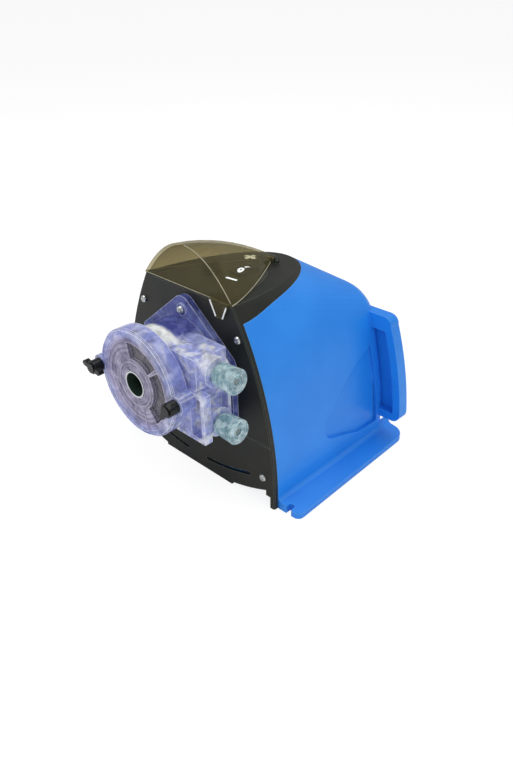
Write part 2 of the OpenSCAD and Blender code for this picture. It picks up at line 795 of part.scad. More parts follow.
// Ring sector in x and z round the rotor axis
module sector(r0, r1, a0, a1) {
  translate([0, axis_z]) difference() {
    polygon(concat([[0, 0]], arc_points(0, 0, r1 * 1.2, a0, a1, 16)));
    circle(r = r0);
    difference() {
      circle(r = r1 * 2);
      circle(r = r1);
    }
  }
}

module head_cover() {
  front = -head_front - cover_d;
  placed() color([0.62, 0.58, 0.86, 0.5]) difference() {
    union() {
      rod_y(cover_r, front + 3, -head_front, 0, axis_z);
      rod_y(cover_r - 1.6, front + 1, -head_front, 0, axis_z);
      for (x = [-thumb_x, thumb_x]) rod_y(8.6, front + 1, -head_front, x, axis_z);
      rod_y(20, front, -head_front, 0, axis_z);
    }
    difference() {
      rod_y(track_r + 3, front + 5.5, -head_front + 1, 0, axis_z);
      rod_y(18.4, front, -head_front + 0.2, 0, axis_z);
    }
    rod_y(15.02, front + 2.4, -head_front + 1, 0, axis_z);
    rod_y(nose_r + 0.6, front - 1, -head_front + 1, 0, axis_z);
    rod_y(plate_r + 1, -head_front - 1.4, -head_front + 1, 0, axis_z);
    for (x = [-thumb_x, thumb_x]) rod_y(2.55, front - 1, -head_front + 1, x, axis_z);
    along_y(front - 1, front + 3.9) {
      sector(22.5, 37.5, -52, 36);
      sector(22.5, 37.5, 41, 102);
    }
    along_y(front - 1, front + 2.2) sector(22.5, 44, 188, 284);
  }
}

module cover_bearing() {
  front = -head_front - cover_d;
  placed() color("#d4d6da") difference() {
    rod_y(15, front + 2.4, front + 12, 0, axis_z);
    rod_y(nose_r + run_gap, front - 1, front + 14, 0, axis_z);
  }
}

module thumb_screw(x, a) {
  front = -head_front - cover_d + 1;
  translate([x, 0, axis_z]) {
    rod_y(2.5, front - 1, -2.5);
    rod_y(6, front - thumb_head + 1.5, front);
    rod_y(4.6, front - thumb_head, front - thumb_head + 2);
    rotate([0, -a, 0]) along_y(front - thumb_head + 0.8, front - 5)
      link_2d([-thumb_w / 2 + 2.4, 0], [thumb_w / 2 - 2.4, 0], 2.4);
  }
}

module thumb_screw_left() {
  placed() color("#17191a") thumb_screw(-thumb_x, thumb_angles[0]);
}

module thumb_screw_right() {
  placed() color("#17191a") thumb_screw(thumb_x, thumb_angles[1]);
}

rear_housing();
front_cover();
cover_screws();
control_overlay();
rate_knob();
potentiometer();
switch_bezel();
switch_rocker();
hood();
hood_hinge_pin();
gearbox();
gearbox_screws();
motor_can();
output_shaft();
shaft_bearing();
circuit_board();
board_posts();
transformer();
terminal_block();
capacitor();
cable_gland();
gland_nut();
head_bracket();
bracket_screws();
head_body();
squeeze_tube();
tube_fittings();
suction_nut();
discharge_nut();
tube_ferrules();
rotor_frame();
rotor_nose();
roller_1();
roller_2();
roller_3();
roller_pins();
head_cover();
cover_bearing();
thumb_screw_left();
thumb_screw_right();
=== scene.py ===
import math

import bpy
from mathutils import Matrix, Vector
from mathutils.bvhtree import BVHTree


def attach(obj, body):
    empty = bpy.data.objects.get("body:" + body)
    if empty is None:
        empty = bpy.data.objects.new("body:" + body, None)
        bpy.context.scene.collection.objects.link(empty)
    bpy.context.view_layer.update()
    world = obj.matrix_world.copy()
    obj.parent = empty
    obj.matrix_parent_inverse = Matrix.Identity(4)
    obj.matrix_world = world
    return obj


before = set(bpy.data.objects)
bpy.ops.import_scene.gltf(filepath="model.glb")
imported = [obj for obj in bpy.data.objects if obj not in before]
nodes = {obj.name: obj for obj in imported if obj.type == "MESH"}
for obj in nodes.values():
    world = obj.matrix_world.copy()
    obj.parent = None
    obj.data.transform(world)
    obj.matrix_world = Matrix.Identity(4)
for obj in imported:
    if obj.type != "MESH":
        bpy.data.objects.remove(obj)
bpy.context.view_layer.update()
print("frame loaded:", len(nodes), "nodes")

millimetre = 0.001

# where the part stands in the frame, in mm, from the drawing's front face
layout = {
    "frontFaceY": -49.5,     # the drawing's front face, in the frame
    "axisZ": 117.0,          # rotor axis above the ground
    "topZ": 183.0,           # control surface at its front edge
    "topFall": 0.05,         # its fall towards the rear, per mm
}

# small heights and borders that the finishes share
relief = {
    "grainMm": 0.2,          # height of moulded grain
    "turnedMm": 0.1,         # height of turning marks
    "borderMm": 4.0,         # how far the border of a zone wanders
}


def place(x, y, z):
    # a point of the drawing, mm from the front face, as metres in the frame
    return Vector((x, y + layout["frontFaceY"], z)) * millimetre


def toLinear(hexColour):
    # sRGB hex to linear RGBA
    values = [int(hexColour[i:i + 2], 16) / 255 for i in (1, 3, 5)]
    linear = [v / 12.92 if v <= 0.04045 else ((v + 0.055) / 1.055) ** 2.4 for v in values]
    return (*linear, 1.0)


def addNode(tree, kind, settings=None, links=None):
    # adds a shader node, sets its properties or sockets, and links sockets from other nodes' outputs
    node = tree.nodes.new(kind)
    for key, value in (settings or {}).items():
        if isinstance(key, str) and hasattr(node, key) and key not in node.inputs:
            setattr(node, key, value)
        else:
            node.inputs[key].default_value = value
    for key, source in (links or {}).items():
        tree.links.new(source, node.inputs[key])
    return node


def newMaterial(name):
    made = bpy.data.materials.new(name)
    made.use_nodes = True
    made.node_tree.nodes.clear()
    return made, made.node_tree


def finishMaterial(tree, shader):
    addNode(tree, "ShaderNodeOutputMaterial", links={"Surface": shader.outputs[0]})


def twoTones(tree, share, dark, light, start=0.0, end=1.0):
    # two colours that follow a pattern, the first below its start and the second past its end
    ramp = addNode(tree, "ShaderNodeValToRGB", links={"Fac": share})
    for element, colour, position in zip(ramp.color_ramp.elements, (dark, light), (start, end)):
        element.position = position
        element.color = toLinear(colour)
    return ramp.outputs["Color"]


def edgeShare(tree, radiusMm, low, high):
    # how near a sharp edge the surface is, from its own shape: 0 on a face, 1 on an edge
    rounded = addNode(tree, "ShaderNodeBevel", {"samples": 4, "Radius": radiusMm * millimetre})
    geometry = addNode(tree, "ShaderNodeNewGeometry")
    bend = addNode(tree, "ShaderNodeVectorMath", {"operation": "DOT_PRODUCT"},
                   {0: rounded.outputs["Normal"], 1: geometry.outputs["Normal"]})
    share = addNode(tree, "ShaderNodeMapRange",
                    {"From Min": 1 - low, "From Max": 1 - high, "To Min": 0.0, "To Max": 1.0},
                    {"Value": bend.outputs["Value"]})
    return share.outputs["Result"]


def axisDistance(tree, coords):
    # how far from the rotor axis, in metres
    level = addNode(tree, "ShaderNodeVectorMath",
                    {"operation": "SUBTRACT", 1: (0, 0, layout["axisZ"] * millimetre)},
                    {0: coords.outputs["Object"]})
    flat = addNode(tree, "ShaderNodeVectorMath", {"operation": "MULTIPLY", 1: (1, 0, 1)},
                   {0: level.outputs["Vector"]})
    distance = addNode(tree, "ShaderNodeVectorMath", {"operation": "LENGTH"}, {0: flat.outputs["Vector"]})
    return distance.outputs["Value"]


def opaqueMaterial(name, look):
    # a solid finish: two close colours in a soft mottle, varied roughness, a fine grain in the bump, and, where
    # the look gives an edge colour, a painted highlight along sharp edges
    made, tree = newMaterial(name)
    coords = addNode(tree, "ShaderNodeTexCoord")
    mottle = addNode(tree, "ShaderNodeTexNoise",
                     {"Scale": 1 / (look["mottleMm"] * millimetre), "Detail": 3.0, "Roughness": 0.55},
                     {"Vector": coords.outputs["Object"]})
    paint = twoTones(tree, mottle.outputs["Fac"], look["dark"], look["light"], 0.36, 0.66)
    # painted highlight: sharp edges, found from the shape by the bevel, take the paler edge colour
    if "edge" in look:
        edgeHighlight = addNode(tree, "ShaderNodeMix", {"data_type": "RGBA", 7: toLinear(look["edge"])},
                       {0: edgeShare(tree, look["edgeMm"], 0.02, 0.25), 6: paint})
        paint = edgeHighlight.outputs[2]
    grain = addNode(tree, "ShaderNodeTexNoise",
                    {"Scale": 1 / (look["grainMm"] * millimetre), "Detail": 2.0},
                    {"Vector": coords.outputs["Object"]})
    rough = addNode(tree, "ShaderNodeMapRange",
                    {"From Min": 0.3, "From Max": 0.7,
                     "To Min": look["rough"] - 0.05, "To Max": look["rough"] + 0.06},
                    {"Value": grain.outputs["Fac"]})
    bump = addNode(tree, "ShaderNodeBump",
                   {"Strength": look["grainStrength"], "Distance": relief["grainMm"] * millimetre},
                   {"Height": grain.outputs["Fac"]})
    shader = addNode(tree, "ShaderNodeBsdfPrincipled", {"Metallic": look.get("metallic", 0.0)},
                     {"Base Color": paint, "Roughness": rough.outputs["Result"],
                      "Normal": bump.outputs["Normal"]})
    if "metallic" not in look:
        shader.inputs["IOR"].default_value = look.get("ior", 1.5)
    if "glow" in look:
        shader.inputs["Emission Color"].default_value = toLinear(look.get("glowColour", look["light"]))
        shader.inputs["Emission Strength"].default_value = look["glow"]
    finishMaterial(tree, shader)
    return made


def zonePaint(tree, coords, look, swirl, drifted, paint):
    # parts of a clear piece that are paler, darker or less clear: a tube just behind, a painted highlight in
    # the thick port block, and painted shade on the walls inside the rim of the cover
    facing = None
    if "zones" not in look:
        return paint, facing
    split = addNode(tree, "ShaderNodeSeparateXYZ", links={"Vector": coords.outputs["Object"]})
    distance = axisDistance(tree, coords)
    measures = {"X": split.outputs["X"], "Y": split.outputs["Y"], "R": distance}
    border = relief["borderMm"] * millimetre
    for zone in look["zones"]:
        shift = addNode(tree, "ShaderNodeMath", {"operation": "MULTIPLY_ADD", 1: border, 2: -border / 2},
                        {0: swirl.outputs["Fac"]})
        moved = addNode(tree, "ShaderNodeMath", {"operation": "ADD"},
                        {0: measures[zone["along"]], 1: shift.outputs[0]})
        inside = addNode(tree, "ShaderNodeMapRange",
                         {"From Min": zone["from"] * millimetre, "From Max": zone["to"] * millimetre},
                         {"Value": moved.outputs[0]})
        share = inside.outputs["Result"]
        if "within" in zone:
            near = addNode(tree, "ShaderNodeMath", {"operation": "LESS_THAN", 1: zone["within"] * millimetre},
                           {0: distance})
            kept = addNode(tree, "ShaderNodeMath", {"operation": "MULTIPLY"}, {0: share, 1: near.outputs[0]})
            share = kept.outputs[0]
        streaks = twoTones(tree, drifted, zone["body"], zone.get("bodyTwo", zone["body"]), 0.45, 0.6)
        painted = addNode(tree, "ShaderNodeMix", {"data_type": "RGBA"}, {0: share, 6: paint, 7: streaks})
        paint = painted.outputs[2]
        reach = addNode(tree, "ShaderNodeMapRange", {"To Min": look["facing"], "To Max": zone["facing"]},
                        {"Value": share})
        if facing is not None:
            tree.links.new(facing, reach.inputs["To Min"])
        facing = reach.outputs["Result"]
    return paint, facing


def clearMaterial(name, look):
    # a clear plastic: part tint, part cloudy surface, so that what is behind shows, with painted highlights
    # along its sharp edges
    made, tree = newMaterial(name)
    coords = addNode(tree, "ShaderNodeTexCoord")
    swirl = addNode(tree, "ShaderNodeTexNoise",
                    {"Scale": 1 / (look["swirlMm"] * millimetre), "Detail": 2.0, "Distortion": 0.6},
                    {"Vector": coords.outputs["Object"]})
    tint = twoTones(tree, swirl.outputs["Fac"], look["tintDark"], look["tintLight"], 0.35, 0.65)
    bump = addNode(tree, "ShaderNodeBump",
                   {"Strength": look["waveStrength"], "Distance": look["waveMm"] * millimetre},
                   {"Height": swirl.outputs["Fac"]})
    drift = addNode(tree, "ShaderNodeTexNoise",
                    {"Scale": 1 / (look["driftMm"] * millimetre), "Detail": 1.5, "Distortion": look["twist"]},
                    {"Vector": coords.outputs["Object"]})
    drifted = drift.outputs["Fac"]
    if "ringMm" in look:
        # light and dark rings round the rotor axis, painted highlight and shade
        rings = addNode(tree, "ShaderNodeTexNoise",
                        {"noise_dimensions": "1D", "Scale": 1 / (look["ringMm"] * millimetre), "Detail": 1.0},
                        {"W": axisDistance(tree, coords)})
        both = addNode(tree, "ShaderNodeMath", {"operation": "ADD"}, {0: drifted, 1: rings.outputs["Fac"]})
        even = addNode(tree, "ShaderNodeMath", {"operation": "MULTIPLY", 1: 0.5}, {0: both.outputs[0]})
        drifted = even.outputs[0]
    tone = twoTones(tree, drifted, look["body"], look["bodyTwo"], 0.42, 0.58)
    paint, facing = zonePaint(tree, coords, look, swirl, drifted, tone)
    # painted highlight: sharp edges take the pale edge colour and hide more of what is behind
    sharp = edgeShare(tree, look["edgeMm"], 0.02, 0.3)
    body = addNode(tree, "ShaderNodeMix", {"data_type": "RGBA", 7: toLinear(look["edge"])},
                   {0: sharp, 6: paint})
    through = addNode(tree, "ShaderNodeBsdfTransparent", links={"Color": tint})
    surface = addNode(tree, "ShaderNodeBsdfPrincipled",
                      {"Roughness": look["rough"], "IOR": look["ior"],
                       "Specular IOR Level": look.get("specular", 0.5)},
                      {"Base Color": body.outputs[2], "Normal": bump.outputs["Normal"]})
    rim = addNode(tree, "ShaderNodeLayerWeight", {"Blend": 0.3}, {"Normal": bump.outputs["Normal"]})
    share = addNode(tree, "ShaderNodeMapRange", {"To Min": look["facing"], "To Max": look["grazing"]},
                    {"Value": rim.outputs["Facing"]})
    if facing is not None:
        tree.links.new(facing, share.inputs["To Min"])
    cloud = addNode(tree, "ShaderNodeMapRange",
                    {"From Min": 0.35, "From Max": 0.65,
                     "To Min": 1 - look["cloud"], "To Max": 1 + look["cloud"]},
                    {"Value": swirl.outputs["Fac"]})
    clouded = addNode(tree, "ShaderNodeMath", {"operation": "MULTIPLY"},
                      {0: share.outputs["Result"], 1: cloud.outputs["Result"]})
    edged = addNode(tree, "ShaderNodeMath", {"operation": "MULTIPLY", 1: look["edgeShare"]}, {0: sharp})
    total = addNode(tree, "ShaderNodeMath", {"operation": "ADD", "use_clamp": True},
                    {0: clouded.outputs[0], 1: edged.outputs[0]})
    mixed = addNode(tree, "ShaderNodeMixShader",
                    links={"Fac": total.outputs[0], 1: through.outputs[0], 2: surface.outputs[0]})
    finishMaterial(tree, mixed)
    return made


def dress(names, material):
    for name in names:
        mesh = nodes[name].data
        mesh.materials.clear()
        mesh.materials.append(material)


# finishes: what each real material is and how it was made
looks = {
    # injection moulded polypropylene, satin, deep sky blue with a soft sheen and a painted lighter blue
    # highlight along its sharp edges
    "bluePolypropylene": {"dark": "#1c84e8", "light": "#248df0", "mottleMm": 60, "grainMm": 1.2,
                          "grainStrength": 0.08, "rough": 0.4, "edge": "#4ba0f2", "edgeMm": 0.9},
    # black ABS, fine spark-eroded grain that greys in the light, with a painted pale grey highlight along its
    # sharp edges
    "blackAbs": {"dark": "#151d1a", "light": "#25241d", "mottleMm": 55, "grainMm": 0.8,
                 "grainStrength": 0.16, "rough": 0.5, "ior": 1.4, "edge": "#7f8a80", "edgeMm": 0.7},
    # dark polyester film on the controls, slightly warm
    "controlFilm": {"dark": "#2a2b22", "light": "#33332a", "mottleMm": 25, "grainMm": 0.9,
                    "grainStrength": 0.05, "rough": 0.38},
    # glossy black nylon of thumb screws, knob and switch
    "blackNylon": {"dark": "#080a09", "light": "#101312", "mottleMm": 8, "grainMm": 0.7,
                   "grainStrength": 0.1, "rough": 0.32, "ior": 1.4},
    # bright zinc plated steel
    "zincSteel": {"dark": "#b9bdbd", "light": "#e2e4e2", "mottleMm": 5, "grainMm": 0.5,
                  "grainStrength": 0.1, "rough": 0.26, "metallic": 1.0},
    # turned steel of the shaft and the bearings
    "turnedSteel": {"dark": "#9fa3a8", "light": "#cfd2d6", "mottleMm": 12, "grainMm": 0.6,
                    "grainStrength": 0.08, "rough": 0.3, "metallic": 1.0},
    # die cast aluminium, dull
    "castAluminium": {"dark": "#8a8d90", "light": "#a6a9ab", "mottleMm": 10, "grainMm": 0.8,
                      "grainStrength": 0.2, "rough": 0.5, "metallic": 1.0},
    # painted motor can
    "motorPaint": {"dark": "#505357", "light": "#5d6064", "mottleMm": 20, "grainMm": 0.8,
                   "grainStrength": 0.12, "rough": 0.45},
    # grey glass-filled nylon of the rotor
    "greyNylon": {"dark": "#6c6e73", "light": "#84868b", "mottleMm": 9, "grainMm": 0.7,
                  "grainStrength": 0.12, "rough": 0.45},
    # white acetal of the rollers
    "whiteAcetal": {"dark": "#dcdcd6", "light": "#ecebe6", "mottleMm": 8, "grainMm": 0.8,
                    "grainStrength": 0.05, "rough": 0.35},
    # white thermoplastic rubber of the squeeze tube, soft and matt
    "whiteRubber": {"dark": "#ebe9e0", "light": "#f6f4ec", "mottleMm": 10, "grainMm": 0.8,
                    "grainStrength": 0.06, "rough": 0.55},
    # lacquered glass fibre board
    "greenBoard": {"dark": "#17512c", "light": "#1f6b3a", "mottleMm": 12, "grainMm": 0.8,
                   "grainStrength": 0.1, "rough": 0.4},
    # varnished core plates
    "corePlates": {"dark": "#64583f", "light": "#7d6d4c", "mottleMm": 10, "grainMm": 0.9,
                   "grainStrength": 0.2, "rough": 0.5},
    # white polyamide of the terminal block, the posts and the ferrules
    "whitePolyamide": {"dark": "#cfd0ca", "light": "#e2e2dd", "mottleMm": 9, "grainMm": 0.8,
                       "grainStrength": 0.08, "rough": 0.5},
    # dark shrunk sleeve of the capacitor
    "darkSleeve": {"dark": "#23272c", "light": "#2f343a", "mottleMm": 12, "grainMm": 0.8,
                   "grainStrength": 0.06, "rough": 0.3},
}
dressing = {
    "bluePolypropylene": ["rear_housing"],
    "blackAbs": ["front_cover"],
    "controlFilm": ["control_overlay"],
    "blackNylon": ["rate_knob", "switch_bezel", "switch_rocker", "thumb_screw_left", "thumb_screw_right",
                   "cable_gland", "gland_nut"],
    "zincSteel": ["cover_screws", "bracket_screws", "gearbox_screws", "hood_hinge_pin", "roller_pins"],
    "turnedSteel": ["cover_bearing", "shaft_bearing", "output_shaft"],
    "castAluminium": ["gearbox", "potentiometer"],
    "motorPaint": ["motor_can"],
    "greyNylon": ["rotor_frame"],
    "whiteAcetal": ["roller_1", "roller_2", "roller_3"],
    "whiteRubber": ["squeeze_tube"],
    "greenBoard": ["circuit_board"],
    "corePlates": ["transformer"],
    "whitePolyamide": ["terminal_block", "board_posts", "tube_ferrules"],
    "darkSleeve": ["capacitor"],
}
for lookName, pieceNames in dressing.items():
    dress(pieceNames, opaqueMaterial(lookName, looks[lookName]))


# the nose: turned steel outside, painted dark inside its bore as shade
noseLook = {"dark": "#c3c6cc", "light": "#e6e8ec", "bore": "#2b3a33", "boreRadius": 10.5, "steelRadius": 10.9,
            "marksPerMetre": 900.0, "rough": 0.28}


def noseMaterial(name, look):
    # steel and bore are told apart by the distance from the rotor axis
    made, tree = newMaterial(name)
    coords = addNode(tree, "ShaderNodeTexCoord")
    outside = addNode(tree, "ShaderNodeMapRange",
                      {"From Min": look["boreRadius"] * millimetre,
                       "From Max": look["steelRadius"] * millimetre},
                      {"Value": axisDistance(tree, coords)})
    turning = addNode(tree, "ShaderNodeTexWave",
                      {"wave_type": "RINGS", "rings_direction": "Y", "Scale": look["marksPerMetre"],
                       "Distortion": 0.4}, {"Vector": coords.outputs["Object"]})
    metal = twoTones(tree, turning.outputs["Fac"], look["dark"], look["light"])
    # painted shade: the bore dark, told apart by the distance from the axis
    colour = addNode(tree, "ShaderNodeMix", {"data_type": "RGBA", 6: toLinear(look["bore"])},
                     {0: outside.outputs["Result"], 7: metal})
    bump = addNode(tree, "ShaderNodeBump", {"Strength": 0.1, "Distance": relief["turnedMm"] * millimetre},
                   {"Height": turning.outputs["Fac"]})
    shader = addNode(tree, "ShaderNodeBsdfPrincipled", {"Roughness": look["rough"]},
                     {"Base Color": colour.outputs[2], "Metallic": outside.outputs["Result"],
                      "Normal": bump.outputs["Normal"]})
    finishMaterial(tree, shader)
    return made


dress(["rotor_nose"], noseMaterial("noseSteel", noseLook))

# clear plastics: a zone runs from where it starts to where it is full, in mm of the frame or of radius
clearLooks = {
    # bronze tinted polycarbonate, thin and glossy, with a painted pale highlight along its cut edges
    "bronzePolycarbonate": {
        "tintDark": "#e8e3cf", "tintLight": "#ede8d5", "body": "#68644a", "bodyTwo": "#726d52", "driftMm": 60,
        "twist": 0.0, "rough": 0.1, "ior": 1.58, "facing": 0.06, "grazing": 0.75, "cloud": 0.1, "swirlMm": 40,
        "waveStrength": 0.03, "waveMm": 0.4, "specular": 0.25, "edge": "#8f8c6a", "edgeMm": 0.7,
        "edgeShare": 0.3},
    # clear violet-blue acrylic of the chamber: milky over the tube, glassy in the thick port block with a
    # painted highlight that makes it pale and near white, and painted white highlights along its edges
    "violetAcrylic": {
        "tintDark": "#d6d9f6", "tintLight": "#f2f3ff", "body": "#5f67b4", "bodyTwo": "#7780cc", "driftMm": 14,
        "twist": 1.0, "rough": 0.06, "ior": 1.49, "facing": 0.5, "grazing": 0.75, "cloud": 0.3, "swirlMm": 7,
        "waveStrength": 0.9, "waveMm": 1.0, "edge": "#fbfcff", "edgeMm": 1.1, "edgeShare": 0.7,
        "zones": [
            {"along": "Y", "from": -77.5, "to": -80.5, "body": "#f6f9f8", "facing": 0.88},
            # painted highlight: the thick port block paler, near white and less clear
            {"along": "X", "from": 17, "to": 24, "body": "#bcc5fb", "bodyTwo": "#f4f7ff", "facing": 0.64}]},
    # the head cover: the same acrylic, pinkish grey in the middle, with light and dark rings of painted
    # highlight and shade, bluer towards its rim, painted shade on its walls inside the rim, and painted white
    # highlights along its edges
    "coverAcrylic": {
        "tintDark": "#cbc7e2", "tintLight": "#e6e4f6", "body": "#9a93b4", "bodyTwo": "#c3bdda", "driftMm": 14,
        "twist": 0.6, "ringMm": 2.2, "rough": 0.06, "ior": 1.49, "facing": 0.5, "grazing": 0.76, "cloud": 0.3,
        "swirlMm": 8, "waveStrength": 0.7, "waveMm": 0.8, "edge": "#f3f5ff", "edgeMm": 1.1, "edgeShare": 0.65,
        "zones": [
            # painted shade: the walls inside the rim, behind the front face, dark grey and less clear
            {"along": "Y", "from": -108.9, "to": -108.2, "body": "#6f6b74", "facing": 0.62, "within": 38.5},
            # the rim bluer, its light rings near white as painted highlights
            {"along": "R", "from": 38, "to": 44, "body": "#98a5e6", "bodyTwo": "#dde2ff", "facing": 0.52}]},
    # the same acrylic in the bracket, darker because the black cover is behind it, with painted white
    # highlights along its edges
    "deepAcrylic": {
        "tintDark": "#b2b8f4", "tintLight": "#c6cbfa", "body": "#6b77cc", "bodyTwo": "#919ee6", "driftMm": 16,
        "twist": 1.2, "rough": 0.08, "ior": 1.49, "facing": 0.42, "grazing": 0.72, "cloud": 0.25,
        "swirlMm": 10, "waveStrength": 0.7, "waveMm": 0.8, "edge": "#f3f6ff", "edgeMm": 1.1, "edgeShare": 0.85},
    # milky polypropylene of the nuts and fittings, with painted white highlights along its edges
    "milkyPolypropylene": {
        "tintDark": "#c4dbe2", "tintLight": "#e4f3f8", "body": "#94b6bf", "bodyTwo": "#dcf2f6", "driftMm": 7,
        "twist": 0.8, "rough": 0.14, "ior": 1.49, "facing": 0.45, "grazing": 0.8, "cloud": 0.25, "swirlMm": 5,
        "waveStrength": 0.4, "waveMm": 0.6, "edge": "#f4fbf9", "edgeMm": 0.9, "edgeShare": 0.7},
}
clearDressing = {
    "bronzePolycarbonate": ["hood"],
    "violetAcrylic": ["head_body"],
    "coverAcrylic": ["head_cover"],
    "deepAcrylic": ["head_bracket"],
    "milkyPolypropylene": ["suction_nut", "discharge_nut", "tube_fittings"],
}
for lookName, pieceNames in clearDressing.items():
    dress(pieceNames, clearMaterial(lookName, clearLooks[lookName]))
print("materials done")


def addPiece(name, vertices, faces, material, body):
    # a piece that only the scene has, riding on a body
    mesh = bpy.data.meshes.new(name)
    mesh.from_pydata([tuple(v) for v in vertices], [], faces)
    mesh.update()
    mesh.materials.append(material)
    piece = bpy.data.objects.new(name, mesh)
    bpy.context.scene.collection.objects.link(piece)
    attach(piece, body)


def surfaceTree(names):
    # the CAD pieces as one tree to cast rays at
    vertices, faces = [], []
    for name in names:
        first = len(vertices)
        vertices += [nodes[name].matrix_world @ v.co for v in nodes[name].data.vertices]
        faces += [[first + i for i in f.vertices] for f in nodes[name].data.polygons]
    return BVHTree.FromPolygons(vertices, faces)


panelTree = surfaceTree(["front_cover", "control_overlay"])
# the rocker's pivot on the drawing, the curve of its top, its depth below that and its lean at rest
rocker = {"x": 4.0, "y": 64.0, "z": 179.8, "radius": 14.6, "depth": 11.4, "lean": 4.14}


def onPanel(x, y, lift):
    # the point of the control surface under x, y in mm
    aboveAll = 260
    hit = panelTree.ray_cast(place(x, y, aboveAll), Vector((0, 0, -1)))[0]
    return hit + Vector((0, 0, lift * millimetre))


def onRocker(x, y, lift):
    # the same on the round top of the rocker, from its pivot, over its engraved signs
    rise = math.sqrt(rocker["radius"] ** 2 - y ** 2) - rocker["depth"] + lift
    lean = math.radians(rocker["lean"])
    return place(rocker["x"] + x, rocker["y"] + y * math.cos(lean) - rise * math.sin(lean),
                 rocker["z"] + y * math.sin(lean) + rise * math.cos(lean))


def stripOn(put, path, halfWidth, lift, thickness, closed):
    # a thin printed strip along a path of points in mm, laid on a surface
    points = [Vector(p) for p in path]
    count = len(points)
    vertices = []
    for i, point in enumerate(points):
        ahead = points[(i + 1) % count] if closed or i + 1 < count else point
        behind = points[i - 1] if closed or i > 0 else point
        along = (ahead - behind).normalized()
        side = Vector((-along[1], along[0])) * halfWidth
        corners = ((side, lift), (side, lift + thickness), (-side, lift + thickness), (-side, lift))
        vertices += [put(*(point + edge), rise) for edge, rise in corners]
    faces = []
    for i in range(count if closed else count - 1):
        near, far = 4 * i, 4 * ((i + 1) % count)
        faces += [[near + k, far + k, far + (k + 1) % 4, near + (k + 1) % 4] for k in range(4)]
    if not closed:
        faces += [[3, 2, 1, 0], [4 * count - 4, 4 * count - 3, 4 * count - 2, 4 * count - 1]]
    return vertices, faces


def line(start, end, steps=8):
    return [(start[0] + (end[0] - start[0]) * i / steps, start[1] + (end[1] - start[1]) * i / steps)
            for i in range(steps + 1)]


def circle(centre, radius, steps=40):
    angles = [2 * math.pi * i / steps for i in range(steps)]
    return [(centre[0] + radius * math.cos(a), centre[1] + radius * math.sin(a)) for a in angles]


# white printed signs: plus and a speed bar on the control surface, on and off on the rocker of the switch
signs = {"lift": 0.1, "thickness": 0.05, "plusAt": (-18.6, 95.0), "plusArm": 6.2, "plusHalf": 2.1,
         "speedFrom": (4.6, 41.5), "speedTo": (16.4, 43.1), "speedHalf": 1.3,
         "onFrom": (0.0, 1.6), "onTo": (0.0, 8.3), "onHalf": 1.1,
         "offAt": (0.0, -3.6), "offRadius": 2.1, "offHalf": 1.1}
# white ink with a little glow, so that it stays white under the bronze hood
inkLook = {"dark": "#f2f2ec", "light": "#ffffff", "mottleMm": 6, "grainMm": 0.8, "grainStrength": 0.02,
           "rough": 0.5, "glow": 5.0, "glowColour": "#bccdff"}
white = opaqueMaterial("whiteInk", inkLook)
plusX, plusY = signs["plusAt"]
arm, thick = signs["plusArm"], signs["plusHalf"]
strips = {
    "speedSign": (onPanel, line(signs["speedFrom"], signs["speedTo"]), signs["speedHalf"], False, "base"),
    "plusAcross": (onPanel, line((plusX - arm, plusY), (plusX + arm, plusY)), thick, False, "base"),
    "plusNear": (onPanel, line((plusX, plusY - arm), (plusX, plusY - thick)), thick, False, "base"),
    "plusFar": (onPanel, line((plusX, plusY + thick), (plusX, plusY + arm)), thick, False, "base"),
    "onSign": (onRocker, line(signs["onFrom"], signs["onTo"]), signs["onHalf"], False, "rocker"),
    "offSign": (onRocker, circle(signs["offAt"], signs["offRadius"]), signs["offHalf"], True, "rocker"),
}
for name, (put, path, halfWidth, closed, body) in strips.items():
    addPiece(name, *stripOn(put, path, halfWidth, signs["lift"], signs["thickness"], closed), white, body)


def bead(points, radiusMm, sides=8):
    # a thin round bead along a path of points in metres, closed at both ends
    radius = radiusMm * millimetre
    vertices, faces = [], []
    for i, point in enumerate(points):
        ahead = (points[min(i + 1, len(points) - 1)] - points[max(i - 1, 0)]).normalized()
        side = ahead.cross(Vector((0, 1, 0.1))).normalized()
        over = ahead.cross(side)
        for k in range(sides):
            a = 2 * math.pi * k / sides
            vertices.append(point + side * (radius * math.cos(a)) + over * (radius * math.sin(a)))
    for i in range(len(points) - 1):
        near, far = i * sides, (i + 1) * sides
        faces += [[near + k, near + (k + 1) % sides, far + (k + 1) % sides, far + k] for k in range(sides)]
    last = (len(points) - 1) * sides
    faces += [list(range(sides - 1, -1, -1)), list(range(last, last + sides))]
    return vertices, faces


# painted highlights along the edges of the hood, as pale beads, in mm: the right half of its front arch, the
# sill below, and both of its feet
hoodEdge = {"halfWidth": 54.5, "length": 104.0, "taper": 1.25, "faceY": -0.1, "lift": 0.75,
            "archRise": 36.9, "archLift": 0.9, "archRadius": 0.34, "archStart": 0.02, "archRun": 0.955,
            "sillStart": -53.5, "sillRun": 84.0, "sillRadius": 0.34,
            "footStart": 0.3, "footRun": 97.0, "footInset": 0.6, "footOut": 0.7, "footRadius": 0.42}
hoodHighlight = opaqueMaterial("hoodEdgeHighlight", {"dark": "#9c9a80", "light": "#bdbba4", "mottleMm": 8,
                                           "grainMm": 0.8, "grainStrength": 0.03, "rough": 0.2})
shares = [hoodEdge["archStart"] + hoodEdge["archRun"] * i / 28 for i in range(29)]
arch = [place(hoodEdge["halfWidth"] * u, hoodEdge["faceY"],
              layout["topZ"] + hoodEdge["archLift"] + hoodEdge["archRise"] * (1 - u * u)) for u in shares]
addPiece("hoodArchHighlight", *bead(arch, hoodEdge["archRadius"]), hoodHighlight, "hood")
sill = [place(hoodEdge["sillStart"] + hoodEdge["sillRun"] * i / 12, hoodEdge["faceY"],
              layout["topZ"] + hoodEdge["lift"]) for i in range(13)]
addPiece("hoodSillHighlight", *bead(sill, hoodEdge["sillRadius"]), hoodHighlight, "hood")


